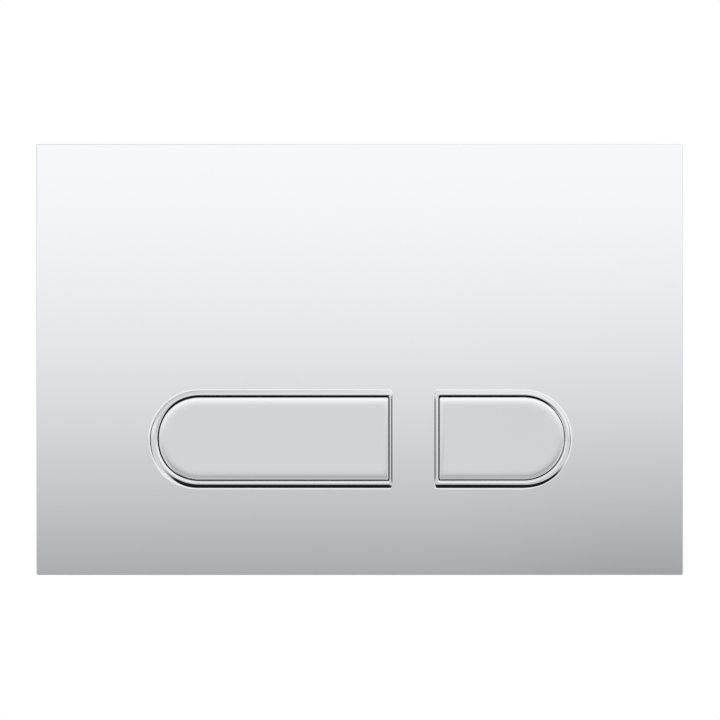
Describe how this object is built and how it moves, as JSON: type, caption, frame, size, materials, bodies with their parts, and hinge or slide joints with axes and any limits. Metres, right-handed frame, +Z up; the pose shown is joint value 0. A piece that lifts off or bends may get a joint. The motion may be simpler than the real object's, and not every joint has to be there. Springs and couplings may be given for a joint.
{
  "type": "flush button plate",
  "caption": "Rectangular chromed wall plate with a long and a short push button in raised rims; sprung sliders push rods that work a concealed cistern's flush valve.",
  "frame": {"origin": "midway between the two fixing studs, in the plane of the frame's rear face, where they leave it", "axes": "+X to the right as seen from the room, +Y into the wall along the studs, +Z up"},
  "size_m": [0.24, 0.103, 0.16],
  "materials": {
    "chrome": "bright chrome plating on moulded ABS",
    "black_plastic": "fine moulded texture",
    "white_plastic": "moulded, slightly satin",
    "grey_plastic": "moulded, slightly satin",
    "rod_plastic": "smooth drawn plastic",
    "nut_plastic": "moulded, satin",
    "zinc_steel": "bright zinc plating",
    "spring_steel": "drawn stainless wire",
    "rubber": "matt moulded rubber"
  },
  "bodies": {
    "plate": {"cover_plate": "chrome", "button_carrier": "black_plastic", "carrier_screws": "zinc_steel", "mounting_frame": "white_plastic", "full_flush_bezel": "chrome", "full_flush_left_spring": "spring_steel", "full_flush_right_spring": "spring_steel", "full_flush_stop_pads": "rubber", "full_flush_rod_bush": "grey_plastic", "half_flush_bezel": "chrome", "half_flush_left_spring": "spring_steel", "half_flush_right_spring": "spring_steel", "half_flush_stop_pads": "rubber", "half_flush_rod_bush": "grey_plastic", "left_fixing_stud": "zinc_steel", "left_fixing_washer": "zinc_steel", "left_fixing_nut": "nut_plastic", "right_fixing_stud": "zinc_steel", "right_fixing_washer": "zinc_steel", "right_fixing_nut": "nut_plastic"},
    "full_flush_button": {"full_flush_cap": "chrome", "full_flush_slider": "black_plastic"},
    "half_flush_button": {"half_flush_cap": "chrome", "half_flush_slider": "black_plastic"},
    "full_flush_rod": {"full_flush_push_rod": "rod_plastic", "full_flush_rod_head": "grey_plastic", "full_flush_rod_locknut": "grey_plastic"},
    "half_flush_rod": {"half_flush_push_rod": "rod_plastic", "half_flush_rod_head": "grey_plastic", "half_flush_rod_locknut": "grey_plastic"}
  },
  "joints": [
    {"name": "full_flush_press", "type": "slide", "parent": "plate", "child": "full_flush_button", "axis": [0, 1, 0], "range_m": [0, 0.005], "stiffness_N_per_m": 2000, "springref_m": -0.003, "deforming": ["full_flush_left_spring", "full_flush_right_spring"]},
    {"name": "full_flush_rod_slide", "type": "slide", "parent": "plate", "child": "full_flush_rod", "axis": [0, 1, 0], "range_m": [0, 0.005]},
    {"name": "half_flush_press", "type": "slide", "parent": "plate", "child": "half_flush_button", "axis": [0, 1, 0], "range_m": [0, 0.005], "stiffness_N_per_m": 2000, "springref_m": -0.003, "deforming": ["half_flush_left_spring", "half_flush_right_spring"]},
    {"name": "half_flush_rod_slide", "type": "slide", "parent": "plate", "child": "half_flush_rod", "axis": [0, 1, 0], "range_m": [0, 0.005]}
  ],
  "couplings": [
    {"joint": "full_flush_rod_slide", "follows": "full_flush_press", "ratio": 1},
    {"joint": "half_flush_rod_slide", "follows": "half_flush_press", "ratio": 1}
  ]
}
